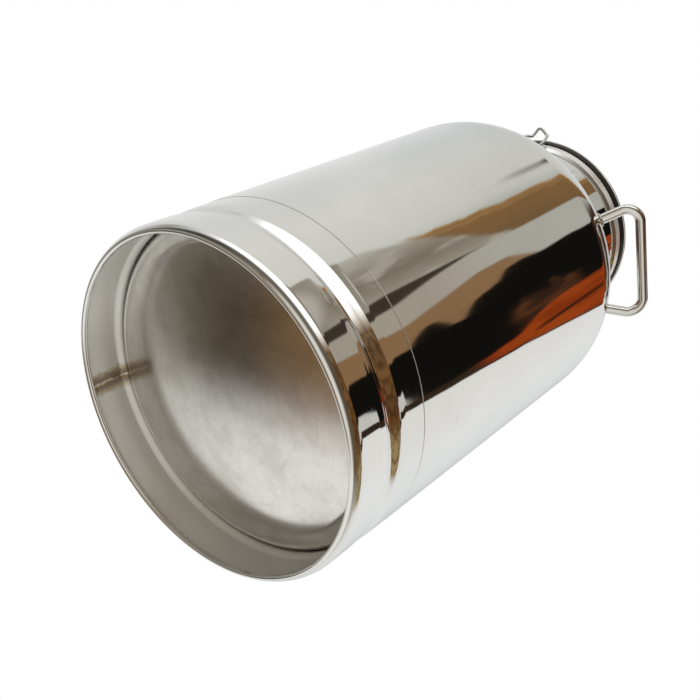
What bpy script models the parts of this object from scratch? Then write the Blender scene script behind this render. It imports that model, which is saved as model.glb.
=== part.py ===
"""Stainless steel milk can with a lid held by two wire clips, built as separate named pieces.

It stands upright with +Z up. The origin is the centre of the circle that the foot stands on, the side
handles are on +X and -X, and the clips are on +Y and -Y. All sizes are in metres.
"""

from math import atan2, cos, degrees, pi, radians, sin, sqrt

import bmesh
import bpy
from mathutils import Matrix, Vector

GAP = 0.0003  # left between pieces that touch

# fineness of the meshes
SEGMENTS = 48  # sides of every turned piece
BEND_STEPS = 8
FILLET_STEPS = 3
ROLL_STEPS = 8
KNUCKLE_STEPS = 5
CROWN_STEPS = 4
BEAD_STEPS = 6
WIRE_SECTION_STEPS = 5
ROD_SIDES = 10
ROD_BEND_STEPS = 6
WIRE_SIDES = 8
WIRE_BEND_STEPS = 4
HINGE_SIDES = 16
LEAF_STEPS = 4
MERGE = 1e-6
SHARP_EDGE = 35.0  # degrees
NEARLY_STRAIGHT = 88.0  # half angle, in degrees, of a corner that needs no bend
BEND_SHARE = 0.45  # the most of a side that one bend may take up

# barrel, shoulder and neck
BODY_RADIUS = 0.150
BODY_WALL = 0.0010
LAP_HEIGHT = 0.0834  # top edge of the foot band
BARREL_TOP = 0.375
SHOULDER_START = 0.384  # where the wall starts to curve in
SHOULDER_BEND = 0.069
NECK_RADIUS = 0.0965
NECK_FILLET = 0.006
NECK_FOOT = 0.458
MOUTH_HEIGHT = 0.531

# mouth ring
RING_RADIUS = 0.0996
RING_HEIGHT = 0.0135
RING_EDGE = 0.0012

# foot band with its pressed-in groove and wired rim
SKIRT_RADIUS = 0.1498
SKIRT_WALL = 0.0011
GROOVE_LOW = 0.0372
GROOVE_FLOOR = 0.0437  # height of the groove's deepest line
GROOVE_HIGH = 0.0557
GROOVE_DEPTH = 0.0038
RIM_TURN = 0.012  # where the wall starts to swell towards the rim
RIM_RADIUS = 0.1503  # widest part of the rim
RIM_HEIGHT = 0.0088  # height of the widest part
RIM_ROLL = 0.0030  # height of the roll's centre above the floor
RIM_CENTRE = 0.1460
RIM_FLAT = 15.0  # degrees each side of the roll's lowest point that are flat
RIM_WIRE = 0.0015

# dished bottom, crown down
DISH_RADIUS = 0.1484
DISH_WALL = 0.0012
DISH_TOP = 0.095
KNUCKLE = 0.028
KNUCKLE_HEIGHT = 0.0615
CROWN_LOW = 0.0225

# lid
LID_RADIUS = 0.1015
LID_WALL = 0.0012
LID_FLANGE = 0.5414  # top face of the flat flange
LID_EDGE = 0.0013  # radius of the beaded edge
LID_CROWN = 0.553
LID_DOME_RADIUS = 0.082
LID_DOME_EDGE = 0.5465
LID_FLANGE_INNER = 0.090
LID_STEP_RUN = 0.003
LID_STEP_RISE = 0.0012
GASKET_RADIUS = 0.1008
GASKET_EDGE = 0.0012
LOCATOR_RADIUS = 0.0935
LOCATOR_DEPTH = 0.021
LID_HANDLE_ROD = 0.004
LID_HANDLE_SPAN = 0.084
LID_HANDLE_TOP = 0.588
LID_HANDLE_BEND = 0.014

# side handles, of round rod bent to a trapezium and welded square to the shoulder
HANDLE_ROD = 0.005
HANDLE_FOOT_ANGLE = 38.0  # degrees up the shoulder's bend
HANDLE_FOOT_SPREAD = 19.6  # degrees round the can, each way
HANDLE_REACH = 0.1588
HANDLE_HEIGHT = 0.4519
HANDLE_HALF_GRIP = 0.0578
HANDLE_BEND = 0.014
HANDLE_FOOT_GAP = 0.0009

# lid clips: a closed loop of wire that swings in a rolled knuckle
WIRE = 0.0017
PIVOT_REACH = 0.1013
PIVOT_HEIGHT = 0.485
CLIP_OPEN = 2.0  # degrees that the stored clip stands off the lid's edge
KNUCKLE_BORE = 0.0021
KNUCKLE_OUTER = 0.0036
KNUCKLE_HALF = 0.017
LEAF_OUTER = 0.0986
LEAF_HALF_ANGLE = 8.2
LEAF_LOW = 0.468
LEAF_HIGH = 0.487
BAIL_BEND = 0.004
# corners of one half of the latched loop: along the pivot, out from it, up from it
BAIL_CORNERS = [
    (0.0250, 0.0000, 0.0000),
    (0.0208, 0.0005, 0.0330),
    (0.0150, 0.0024, 0.0520),
    (0.0128, 0.0024, 0.0585),
    (0.0098, 0.0005, 0.0630),
    (0.0075, 0.0020, 0.0655),
    (0.0000, 0.0105, 0.0665),
]

# colour, roughness and metallic value of each finish
POLISHED_STEEL = ((0.78, 0.78, 0.77), 0.06, 1.0)
SATIN_STEEL = ((0.62, 0.61, 0.60), 0.32, 1.0)
ROD_STEEL = ((0.66, 0.65, 0.63), 0.18, 1.0)
BLACK_RUBBER = ((0.02, 0.02, 0.02), 0.55, 0.0)


def material(name, colour, roughness, metallic):
    made = bpy.data.materials.new(name)
    made.use_nodes = True
    shader = made.node_tree.nodes["Principled BSDF"]
    shader.inputs["Base Color"].default_value = (*colour, 1.0)
    shader.inputs["Roughness"].default_value = roughness
    shader.inputs["Metallic"].default_value = metallic
    return made


def arc(centre, radius, start, end, steps):
    """Points (r, z) along an arc, its angles in degrees from +r towards +z."""
    angles = [radians(start + (end - start) * k / steps) for k in range(steps + 1)]
    return [(centre[0] + radius * cos(a), centre[1] + radius * sin(a)) for a in angles]


def offset(path, distance):
    """The path moved to its right-hand side by distance, with mitred corners."""
    normals = []
    for (r0, z0), (r1, z1) in zip(path, path[1:]):
        step = Vector((r1 - r0, z1 - z0)).normalized()
        normals.append(Vector((step.y, -step.x)))
    moved = []
    for k, (r, z) in enumerate(path):
        before = normals[max(k - 1, 0)]
        after = normals[min(k, len(normals) - 1)]
        middle = (before + after).normalized()
        shift = middle * (distance / middle.dot(after))
        moved.append((max(r + shift.x, 0.0) if r > 0 else 0.0, z + shift.y))
    return moved


def sheet(path, thickness):
    """Closed outline of sheet metal whose outer face follows path, with the metal on its right."""
    return path + offset(path, thickness)[::-1]


def link(name, data, finish):
    made = bpy.data.objects.new(name, data)
    data.materials.append(finish)
    bpy.context.scene.collection.objects.link(made)
    return made


def turned(name, outline, finish):
    """Spins a closed (r, z) outline about the Z axis."""
    mesh = bmesh.new()
    verts = [mesh.verts.new((r, 0.0, z)) for r, z in outline]
    pairs = zip(verts, verts[1:] + verts[:1])
    edges = [mesh.edges.new(p) for p in pairs if max(p[0].co.x, p[1].co.x) > 0.0]
    bmesh.ops.spin(
        mesh,
        geom=verts + edges,
        axis=(0.0, 0.0, 1.0),
        cent=(0.0, 0.0, 0.0),
        angle=2.0 * pi,
        steps=SEGMENTS,
        use_merge=True,
    )
    bmesh.ops.remove_doubles(mesh, verts=mesh.verts, dist=MERGE)
    bmesh.ops.recalc_face_normals(mesh, faces=mesh.faces)
    data = bpy.data.meshes.new(name)
    mesh.to_mesh(data)
    mesh.free()
    data.shade_smooth()
    data.set_sharp_from_angle(angle=radians(SHARP_EDGE))
    return link(name, data, finish)


def rounded(corners, radius, steps, cyclic=False):
    """The corners as a path whose bends are arcs of the given radius, less where there is no room."""
    count = len(corners)
    path = []
    for k, corner in enumerate(corners):
        if not cyclic and k in (0, count - 1):
            path.append(corner)
            continue
        back = corners[k - 1] - corner
        ahead = corners[(k + 1) % count] - corner
        half = back.angle(ahead) / 2.0
        if half > radians(NEARLY_STRAIGHT):
            path.append(corner)
            continue
        reach = sin(half) / cos(half)
        bend = min(radius, BEND_SHARE * min(back.length, ahead.length) * reach)
        along = bend / reach
        middle = corner + (back.normalized() + ahead.normalized()).normalized() * (bend / sin(half))
        start = corner + back.normalized() * along - middle
        end = corner + ahead.normalized() * along - middle
        turn = start.angle(end)
        for j in range(steps + 1):
            share = j / steps
            spoke = start * sin((1.0 - share) * turn) + end * sin(share * turn)
            path.append(middle + spoke / sin(turn))
    return path


def rod(name, path, radius, finish, sides, cyclic=False):
    """Round rod along a path of points, closed on itself or with flat ends."""
    data = bpy.data.curves.new(name, "CURVE")
    data.dimensions = "3D"
    data.bevel_depth = radius
    data.bevel_resolution = (sides - 4) // 2
    data.use_fill_caps = not cyclic
    line = data.splines.new("POLY")
    line.points.add(len(path) - 1)
    for point, place in zip(line.points, path):
        point.co = (*place, 1.0)
    line.use_cyclic_u = cyclic
    line.use_smooth = True
    return link(name, data, finish)


def barrel(finish):
    top = BARREL_TOP
    low = LAP_HEIGHT + GAP
    turned("barrel", sheet([(BODY_RADIUS, top), (BODY_RADIUS, low)], BODY_WALL), finish)


def shoulder(finish):
    """Drawn shoulder: a big convex bend that turns up into the neck with a small fillet."""
    bend_centre = (BODY_RADIUS - SHOULDER_BEND, SHOULDER_START)
    fillet_r = NECK_RADIUS + NECK_FILLET
    across = fillet_r - bend_centre[0]
    rise = sqrt((SHOULDER_BEND + NECK_FILLET) ** 2 - across**2)
    meet = degrees(atan2(rise, across))
    fillet_centre = (fillet_r, bend_centre[1] + rise)
    path = [(NECK_RADIUS, NECK_FOOT)]
    path += arc(fillet_centre, NECK_FILLET, 180.0, 180.0 + meet, FILLET_STEPS)
    path += arc(bend_centre, SHOULDER_BEND, meet, 0.0, BEND_STEPS)[1:]
    path.append((BODY_RADIUS, BARREL_TOP + GAP))
    turned("shoulder", sheet(path, BODY_WALL), finish)


def neck(finish):
    path = [(NECK_RADIUS, MOUTH_HEIGHT), (NECK_RADIUS, NECK_FOOT + GAP)]
    turned("neck", sheet(path, BODY_WALL), finish)


def mouth_ring(finish):
    inner = NECK_RADIUS + GAP
    low = MOUTH_HEIGHT - RING_HEIGHT
    outline = [
        (inner, MOUTH_HEIGHT),
        (RING_RADIUS - RING_EDGE, MOUTH_HEIGHT),
        (RING_RADIUS, MOUTH_HEIGHT - RING_EDGE),
        (RING_RADIUS, low + RING_EDGE),
        (RING_RADIUS - RING_EDGE, low),
        (inner, low),
    ]
    turned("mouth_ring", outline, finish)


def foot_skirt(finish):
    """Foot band: lap edge, pressed-in groove, and a rim rolled inwards with a narrow flat to stand on."""
    roll = RIM_ROLL / cos(radians(RIM_FLAT))
    path = [
        (SKIRT_RADIUS, LAP_HEIGHT),
        (SKIRT_RADIUS, GROOVE_HIGH),
        (SKIRT_RADIUS - GROOVE_DEPTH, GROOVE_FLOOR),
        (SKIRT_RADIUS, GROOVE_LOW),
        (SKIRT_RADIUS, RIM_TURN),
        (RIM_RADIUS, RIM_HEIGHT),
    ]
    path += arc((RIM_CENTRE, RIM_ROLL), roll, -RIM_FLAT, RIM_FLAT - 270.0, ROLL_STEPS)
    turned("foot_skirt", sheet(path, SKIRT_WALL), finish)


def rim_wire(finish):
    section = arc((RIM_CENTRE, RIM_ROLL), RIM_WIRE, 150.0, -150.0, WIRE_SECTION_STEPS)
    turned("rim_wire", section, finish)


def bottom_dish(finish):
    """Dished head with a straight flange up the wall; its crown hangs down inside the foot."""
    across = DISH_RADIUS - KNUCKLE
    drop = KNUCKLE_HEIGHT - CROWN_LOW
    crown = (across**2 + drop**2 - KNUCKLE**2) / (2.0 * (drop - KNUCKLE))
    crown_height = CROWN_LOW + crown
    meet = degrees(atan2(KNUCKLE_HEIGHT - crown_height, across))
    path = [(DISH_RADIUS, DISH_TOP)]
    path += arc((across, KNUCKLE_HEIGHT), KNUCKLE, 0.0, meet, KNUCKLE_STEPS)
    path += arc((0.0, crown_height), crown, meet, -90.0, CROWN_STEPS)[1:-1]
    path.append((0.0, CROWN_LOW))
    turned("bottom_dish", sheet(path, DISH_WALL), finish)


def lid_cover(finish):
    """Domed cover: crown, step down to a flat flange, and a beaded edge."""
    sag = LID_CROWN - LID_DOME_EDGE
    crown = (LID_DOME_RADIUS**2 + sag**2) / (2.0 * sag)
    crown_centre = (0.0, LID_CROWN - crown)
    slope = degrees(atan2(LID_DOME_EDGE - crown_centre[1], LID_DOME_RADIUS))
    edge_centre = (LID_RADIUS - LID_EDGE, LID_FLANGE - LID_WALL / 2.0)
    upper = [(0.0, LID_CROWN)]
    upper += arc(crown_centre, crown, 90.0, slope, CROWN_STEPS)[1:]
    upper.append((LID_FLANGE_INNER - LID_STEP_RUN, LID_FLANGE + LID_STEP_RISE))
    upper.append((LID_FLANGE_INNER, LID_FLANGE))
    upper.append((edge_centre[0] - LID_EDGE, LID_FLANGE))
    lower = offset(upper, LID_WALL)
    bead = arc(edge_centre, LID_EDGE, 120.0, -120.0, BEAD_STEPS)
    turned("lid_cover", upper + bead + lower[::-1], finish)


def lid_locator(finish):
    top = LID_FLANGE - LID_WALL - GAP
    path = [(LOCATOR_RADIUS, top), (LOCATOR_RADIUS, top - LOCATOR_DEPTH)]
    turned("lid_locator", sheet(path, LID_WALL), finish)


def gasket(finish):
    """Rubber seal ring between the lid's flange and the mouth ring."""
    top = LID_FLANGE - LID_WALL / 2.0 - LID_EDGE - GAP
    low = MOUTH_HEIGHT + GAP
    inner = LOCATOR_RADIUS + GAP
    outline = [
        (inner, top),
        (GASKET_RADIUS - GASKET_EDGE, top),
        (GASKET_RADIUS, top - GASKET_EDGE),
        (GASKET_RADIUS, low + GASKET_EDGE),
        (GASKET_RADIUS - GASKET_EDGE, low),
        (inner, low),
    ]
    turned("gasket", outline, finish)


def lid_handle(finish):
    """Fixed U of round rod, welded to the dome with its grip along X."""
    half = LID_HANDLE_SPAN / 2.0
    sag = LID_CROWN - LID_DOME_EDGE
    foot = LID_CROWN - sag * (half / LID_DOME_RADIUS) ** 2 + HANDLE_FOOT_GAP
    corners = [
        Vector((-half, 0.0, foot)),
        Vector((-half, 0.0, LID_HANDLE_TOP)),
        Vector((half, 0.0, LID_HANDLE_TOP)),
        Vector((half, 0.0, foot)),
    ]
    path = rounded(corners, LID_HANDLE_BEND, ROD_BEND_STEPS)
    rod("lid_handle", path, LID_HANDLE_ROD, finish, ROD_SIDES)


def side_handle(name, turn, finish):
    """Bent rod handle whose two legs stand square on the shoulder's bend."""
    lift = radians(HANDLE_FOOT_ANGLE)
    reach = BODY_RADIUS - SHOULDER_BEND + SHOULDER_BEND * cos(lift)
    height = SHOULDER_START + SHOULDER_BEND * sin(lift)
    corners = []
    for side in (-1.0, 1.0):
        spread = radians(side * HANDLE_FOOT_SPREAD)
        foot = Vector((reach * cos(spread), reach * sin(spread), height))
        grip = Vector((HANDLE_REACH, side * HANDLE_HALF_GRIP, HANDLE_HEIGHT))
        foot += (grip - foot).normalized() * HANDLE_FOOT_GAP
        corners.append([foot, grip])
    path = rounded(corners[0] + corners[1][::-1], HANDLE_BEND, ROD_BEND_STEPS)
    made = rod(name, path, HANDLE_ROD, finish, ROD_SIDES)
    made.rotation_euler.z = turn


def cylinder(name, radius, length):
    """Cylinder along X, used as a blank or a cutter."""
    mesh = bmesh.new()
    bmesh.ops.create_cone(
        mesh,
        cap_ends=True,
        segments=HINGE_SIDES,
        radius1=radius,
        radius2=radius,
        depth=length,
        matrix=Matrix.Rotation(pi / 2.0, 4, "Y"),
    )
    data = bpy.data.meshes.new(name)
    mesh.to_mesh(data)
    mesh.free()
    made = bpy.data.objects.new(name, data)
    bpy.context.scene.collection.objects.link(made)
    return made


def boolean(target, tool, operation):
    cut = target.modifiers.new(tool.name, "BOOLEAN")
    cut.operation = operation
    cut.object = tool
    tool.hide_render = True
    tool.display_type = "WIRE"


def clip_hinge(name, turn, finish):
    """Leaf bent to the neck's curve, with a knuckle along its top that holds the clip's wire."""
    inner = NECK_RADIUS + GAP
    mesh = bmesh.new()
    corners = [(inner, LEAF_HIGH), (LEAF_OUTER, LEAF_HIGH), (LEAF_OUTER, LEAF_LOW), (inner, LEAF_LOW)]
    start = Matrix.Rotation(radians(90.0 - LEAF_HALF_ANGLE), 3, "Z")
    ring = [mesh.verts.new(start @ Vector((r, 0.0, z))) for r, z in corners]
    face = mesh.faces.new(ring)
    bmesh.ops.spin(
        mesh,
        geom=[face],
        axis=(0.0, 0.0, 1.0),
        cent=(0.0, 0.0, 0.0),
        angle=radians(2.0 * LEAF_HALF_ANGLE),
        steps=LEAF_STEPS,
    )
    bmesh.ops.recalc_face_normals(mesh, faces=mesh.faces)
    data = bpy.data.meshes.new(name)
    mesh.to_mesh(data)
    mesh.free()
    leaf = link(name, data, finish)
    leaf.rotation_euler.z = turn
    blank = cylinder(name + "_blank", KNUCKLE_OUTER, 2.0 * KNUCKLE_HALF)
    bore = cylinder(name + "_bore", KNUCKLE_BORE, 4.0 * KNUCKLE_HALF)
    for tool, operation in ((blank, "UNION"), (bore, "DIFFERENCE")):
        tool.parent = leaf
        tool.location = (0.0, PIVOT_REACH, PIVOT_HEIGHT)
        boolean(leaf, tool, operation)


def clip_bail(name, turn, finish):
    """Closed wire loop on its hinge axis, stored a little off the lid's edge."""
    half = [Vector(c) for c in BAIL_CORNERS]
    mirrored = [Vector((-c.x, c.y, c.z)) for c in half[-2::-1]]
    path = rounded(half + mirrored, BAIL_BEND, WIRE_BEND_STEPS, cyclic=True)
    hinge = bpy.data.objects.new(name + "_axis", None)
    bpy.context.scene.collection.objects.link(hinge)
    hinge.rotation_euler.z = turn
    made = rod(name, path, WIRE, finish, WIRE_SIDES, cyclic=True)
    made.parent = hinge
    made.location = (0.0, PIVOT_REACH, PIVOT_HEIGHT)
    made.rotation_euler.x = -radians(CLIP_OPEN)


def build():
    for old in list(bpy.data.objects):
        bpy.data.objects.remove(old)
    polished = material("polished_steel", *POLISHED_STEEL)
    satin = material("satin_steel", *SATIN_STEEL)
    rod_steel = material("rod_steel", *ROD_STEEL)
    rubber = material("black_rubber", *BLACK_RUBBER)
    barrel(polished)
    shoulder(polished)
    neck(polished)
    mouth_ring(polished)
    foot_skirt(polished)
    rim_wire(satin)
    bottom_dish(satin)
    lid_cover(polished)
    lid_locator(satin)
    gasket(rubber)
    lid_handle(rod_steel)
    for side, turn in (("right", 0.0), ("left", pi)):
        side_handle("side_handle_" + side, turn, rod_steel)
    for side, turn in (("front", pi), ("rear", 0.0)):
        clip_hinge("clip_hinge_" + side, turn, satin)
        clip_bail("clip_bail_" + side, turn, rod_steel)


build()
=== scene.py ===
# Looks of the stainless steel milk can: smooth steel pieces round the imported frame, weld beads, procedural
# finishes, a soft studio and the camera. Everything is in metres, in the frame's own axes: +Z up the can, the
# side handles on +X and -X, the clips on +Y and -Y.

from math import asin, atan2, cos, degrees, pi, radians, sin, sqrt

import bpy
from mathutils import Matrix, Vector, noise

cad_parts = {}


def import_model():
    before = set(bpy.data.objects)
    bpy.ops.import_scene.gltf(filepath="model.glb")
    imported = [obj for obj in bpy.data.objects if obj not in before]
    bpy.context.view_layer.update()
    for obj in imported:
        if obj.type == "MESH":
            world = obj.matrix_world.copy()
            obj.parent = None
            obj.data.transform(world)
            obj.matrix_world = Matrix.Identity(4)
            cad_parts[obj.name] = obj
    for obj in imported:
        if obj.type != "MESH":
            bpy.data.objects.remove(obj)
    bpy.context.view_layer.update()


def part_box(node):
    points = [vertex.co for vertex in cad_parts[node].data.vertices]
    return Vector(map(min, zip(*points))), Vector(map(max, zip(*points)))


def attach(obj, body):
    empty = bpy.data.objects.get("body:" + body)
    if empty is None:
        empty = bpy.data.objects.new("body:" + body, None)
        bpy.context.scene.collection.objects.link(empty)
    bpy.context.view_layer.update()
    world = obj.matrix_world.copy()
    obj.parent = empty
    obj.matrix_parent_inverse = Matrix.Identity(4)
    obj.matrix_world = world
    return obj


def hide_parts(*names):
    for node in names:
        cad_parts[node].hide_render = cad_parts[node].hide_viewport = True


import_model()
link = bpy.context.scene.collection.objects.link

# fineness of the meshes
ROUND = 256  # sides of a turned piece
ARC_STEPS = 16
ROD_SIDES = 32
CORNER = 0.00025  # rounding of sheet edges
HOLD = 0.0001  # how near to its ends a long flat wall gets its extra points
STRAIGHT = 89.5  # half a corner's angle from which it counts as straight, in degrees
BEND_SHARE = 0.45  # how much of the shorter side a corner's bend may take
ON_AXIS = 1e-7  # radius below which a point lies on the Z axis
TOUCH = 0.0001  # gap or overlap of pieces that touch
SHARP_EDGE = 40.0  # degrees

# the can, where the boxes of its nodes don't say it
BODY_WALL = 0.0010
SHOULDER_START = 0.384
SHOULDER_BEND = 0.069
NECK_FILLET = 0.006
SKIRT_WALL = 0.0011
SKIRT_RADIUS = 0.1498
GROOVE_LOW = 0.0372
GROOVE_FLOOR = 0.0437
GROOVE_HIGH = 0.0557
GROOVE_DEPTH = 0.0038
GROOVE_EASE = 0.0003  # how far the wall eases in beside the groove
GROOVE_EASE_RUN = 0.0050
GROOVE_EASE_BEND = 0.08
GROOVE_STEPS = 48
GROOVE_CREASE = 0.35  # share of the groove's slope that it has along its edges
RIM_RADIUS = 0.1500
RIM_HEIGHT = 0.0103  # where the wall starts to curve in
RIM_CURVE = 0.0151
RIM_ROLL = 0.0026
RIM_FLAT = 15.0  # degrees by which the roll stops short of three quarters of a turn from level
RIM_WIRE = 0.0014
DISH_WALL = 0.0012
RING_EDGE = 0.0008
RING_SLOPE = 0.0040
RING_STEP = 0.0005
KNUCKLE = 0.028
KNUCKLE_HEIGHT = 0.0615

# the lid
LID_WALL = 0.0012
LID_EDGE = 0.0013
LID_FLANGE = 0.5414
LID_DOME_RADIUS = 0.082
LID_DOME_EDGE = 0.5465
LID_FLANGE_INNER = 0.090
LID_STEP_RUN = 0.003
LID_STEP_RISE = 0.0012
LID_STEP_BEND = 0.004
GASKET_EDGE = 0.0012
LID_HANDLE_ROD = 0.004
LID_HANDLE_SPAN = 0.084
LID_HANDLE_BEND = 0.014

# beads round the rods' feet: how far up the rod they sit, their gap to it and their size
SIDE_WELD = (0.0008, 0.0004, 0.0019)
LID_WELD = (0.0006, 0.0003, 0.0016)

# the side handles
HANDLE_ROD = 0.005
HANDLE_FOOT_ANGLE = 38.0
HANDLE_FOOT_SPREAD = 19.6
HANDLE_REACH = 0.1586
HANDLE_HEIGHT = 0.4519
HANDLE_HALF_GRIP = 0.0578
HANDLE_BEND = 0.014

# the lid clips
WIRE = 0.0017
PIVOT_REACH = 0.1013
PIVOT_HEIGHT = 0.485
CLIP_OPEN = 2.0
KNUCKLE_BORE = 0.0021
KNUCKLE_OUTER = 0.0036
KNUCKLE_HALF = 0.017
KNUCKLE_EASE = 0.0004
LEAF_OUTER = 0.0986
LEAF_HALF_ANGLE = 8.2
LEAF_LOW = 0.468
LEAF_HIGH = 0.4830
BAIL_BEND = 0.004
# corners of one half of the latched loop: along the pivot, out from it, up from it
BAIL_CORNERS = [
    (0.0250, 0.0000, 0.0000),
    (0.0208, 0.0005, 0.0330),
    (0.0150, 0.0024, 0.0520),
    (0.0128, 0.0024, 0.0585),
    (0.0098, 0.0005, 0.0630),
    (0.0075, 0.0020, 0.0655),
    (0.0000, 0.0105, 0.0665),
]

SEAM_ANGLE = -2.0  # degrees round the can to the foot band's weld seam
SEAM_HALF = 0.0016
SEAM_RISE = 0.0004


def low(node):
    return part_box(node)[0].z


def high(node):
    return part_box(node)[1].z


def radius(node):
    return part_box(node)[1].x


BODY_RADIUS = radius("barrel")
NECK_RADIUS = radius("neck")
DISH_RADIUS = radius("bottom_dish")
LID_RADIUS = radius("lid_cover")


# ---------------------------------------------------------------- shapes


def arc(centre, size, start, end, steps=ARC_STEPS):
    """Points (r, z) along an arc, its angles in degrees from +r towards +z."""
    angles = [radians(start + (end - start) * k / steps) for k in range(steps + 1)]
    return [(centre[0] + size * cos(a), centre[1] + size * sin(a)) for a in angles]


def offset(path, distance):
    """The path moved to its right-hand side by distance, with mitred corners."""
    normals = []
    for (r0, z0), (r1, z1) in zip(path, path[1:]):
        step = Vector((r1 - r0, z1 - z0)).normalized()
        normals.append(Vector((step.y, -step.x)))
    moved = []
    for k, (r, z) in enumerate(path):
        before = normals[max(k - 1, 0)]
        after = normals[min(k, len(normals) - 1)]
        middle = (before + after).normalized()
        shift = middle * (distance / middle.dot(after))
        moved.append((max(r + shift.x, 0.0) if r > 0 else 0.0, z + shift.y))
    return moved


def softened(corners, size, steps=4, cyclic=False):
    """The corners, 2-D or 3-D, as a path whose bends are arcs of radius size, less where there is no room."""
    points = [Vector(c) for c in corners]
    count = len(points)
    path = []
    for k, corner in enumerate(points):
        if not cyclic and k in (0, count - 1):
            path.append(corner)
            continue
        back = points[k - 1] - corner
        ahead = points[(k + 1) % count] - corner
        half = back.angle(ahead) / 2.0
        if half > radians(STRAIGHT):
            path.append(corner)
            continue
        reach = sin(half) / cos(half)
        bend = min(size, BEND_SHARE * min(back.length, ahead.length) * reach)
        middle = corner + (back.normalized() + ahead.normalized()).normalized() * (bend / sin(half))
        start = corner + back.normalized() * (bend / reach) - middle
        end = corner + ahead.normalized() * (bend / reach) - middle
        turn = start.angle(end)
        for j in range(steps + 1):
            share = j / steps
            spoke = start * sin((1.0 - share) * turn) + end * sin(share * turn)
            path.append(middle + spoke / sin(turn))
    return path


def placed(piece, body, slot, finishes, *replaced):
    for finish in finishes:
        piece.data.materials.append(finish)
    link(piece)
    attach(piece, body)
    if replaced:
        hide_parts(*replaced)
    return piece


def meshed(name, points, faces):
    data = bpy.data.meshes.new(name)
    data.from_pydata([tuple(p) for p in points], [], faces)
    data.update()
    data.shade_smooth()
    data.set_sharp_from_angle(angle=radians(SHARP_EDGE))
    return bpy.data.objects.new(name, data)


def held(outline):
    """The outline with a point just inside both ends of each long step, which keeps the shading of flat walls
    flat, and the number of the old step that each new one lies in."""
    fine = []
    origin = []
    for number, start in enumerate(outline):
        end = outline[(number + 1) % len(outline)]
        reach = Vector(end) - Vector(start)
        shares = [0.0]
        if reach.length > 10.0 * HOLD and max(start[0], end[0]) > ON_AXIS:
            shares += [HOLD / reach.length, 1.0 - HOLD / reach.length]
        for share in shares:
            fine.append((start[0] + reach.x * share, start[1] + reach.y * share))
            origin.append(number)
    return fine, origin


def turned(name, outline, inner=None):
    """Spins an (r, z) outline round the Z axis. One that ends on the axis at both ends is closed there.
    Faces whose outline step lies in inner, a set of step numbers, get the second material."""
    outline, origin = held(outline)
    area = sum(p[0] * q[1] - q[0] * p[1] for p, q in zip(outline, outline[1:] + outline[:1]))
    steps = list(zip(range(len(outline)), list(range(1, len(outline))) + [0]))
    points = []
    rings = []
    for r, z in outline:
        rings.append(len(points))
        if r < ON_AXIS:
            points.append((0.0, 0.0, z))
            continue
        turns = [2.0 * pi * k / ROUND for k in range(ROUND)]
        points += [(r * cos(a), r * sin(a), z) for a in turns]
    faces = []
    finishes = []
    for number, (a, b) in enumerate(steps):
        on_axis = (outline[a][0] < ON_AXIS, outline[b][0] < ON_AXIS)
        if all(on_axis):
            continue
        for k in range(ROUND):
            n = (k + 1) % ROUND
            start = [rings[a]] if on_axis[0] else [rings[a] + k, rings[a] + n]
            end = [rings[b]] if on_axis[1] else [rings[b] + n, rings[b] + k]
            face = start + end
            faces.append(face if area > 0 else face[::-1])
            finishes.append(1 if inner and origin[number] in inner else 0)
    piece = meshed(name, points, faces)
    piece.data.polygons.foreach_set("material_index", finishes)
    return piece


def strips(rings, sides, closed=True, twist=0):
    """Faces between neighbouring rings of points. Where it is closed, the faces from the last ring back to
    the first are turned by twist points."""
    faces = []
    for k in range(rings if closed else rings - 1):
        a = k * sides
        b = (k + 1) % rings * sides
        shift = twist if k == rings - 1 else 0
        for j in range(sides):
            n = (j + 1) % sides
            faces.append((a + j, a + n, b + (n + shift) % sides, b + (j + shift) % sides))
    return faces


def flipped(faces):
    return [(a, d, c, b) for a, b, c, d in faces]


def rod(name, path, size, cyclic=False):
    """Round rod along a path of points, as a mesh with its section carried along without twist."""
    count = len(path)
    points = []
    side = Vector((0.0, 0.0, 0.0))
    for k, place in enumerate(path):
        if cyclic:
            ahead = path[(k + 1) % count] - path[k - 1]
        else:
            ahead = path[min(k + 1, count - 1)] - path[max(k - 1, 0)]
        ahead.normalize()
        if k == 0:
            side = ahead.orthogonal().normalized()
        side = (side - ahead * side.dot(ahead)).normalized()
        other = ahead.cross(side)
        for j in range(ROD_SIDES):
            turn = 2.0 * pi * j / ROD_SIDES
            points.append(place + (side * cos(turn) + other * sin(turn)) * size)
    twist = 0
    if cyclic:
        last = points[-ROD_SIDES]
        twist = min(range(ROD_SIDES), key=lambda j: (points[j] - last).length)
    faces = strips(count, ROD_SIDES, cyclic, twist)
    if not cyclic:
        faces.append(tuple(reversed(range(ROD_SIDES))))
        faces.append(tuple(range((count - 1) * ROD_SIDES, count * ROD_SIDES)))
    return meshed(name, points, faces)


def weld_ring(name, centre, axis, ring, bead):
    """Fillet weld round a rod's foot: a ring of overlapping ripples."""
    around = 96
    section = 16
    ripples = 9.0  # half as many as there are ripples
    up = axis.normalized()
    side = up.orthogonal().normalized()
    other = up.cross(side)
    points = []
    for k in range(around):
        turn = 2.0 * pi * k / around
        out = side * cos(turn) + other * sin(turn)
        lump = noise.noise(centre * 200.0 + out * 2.2)
        ripple = abs(sin(turn * ripples + lump))
        size = bead * (0.92 + 0.10 * ripple + 0.18 * lump)
        for j in range(section):
            tilt = 2.0 * pi * j / section
            points.append(centre + out * (ring + size * cos(tilt)) + up * (size * 0.9 * sin(tilt)))
    return meshed(name, points, flipped(strips(around, section)))


# ---------------------------------------------------------------- finishes


def linear(red, green, blue):
    """Linear colour of a display colour given as 0 to 255."""
    return tuple((c / 255.0) ** 2.2 for c in (red, green, blue))


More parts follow.
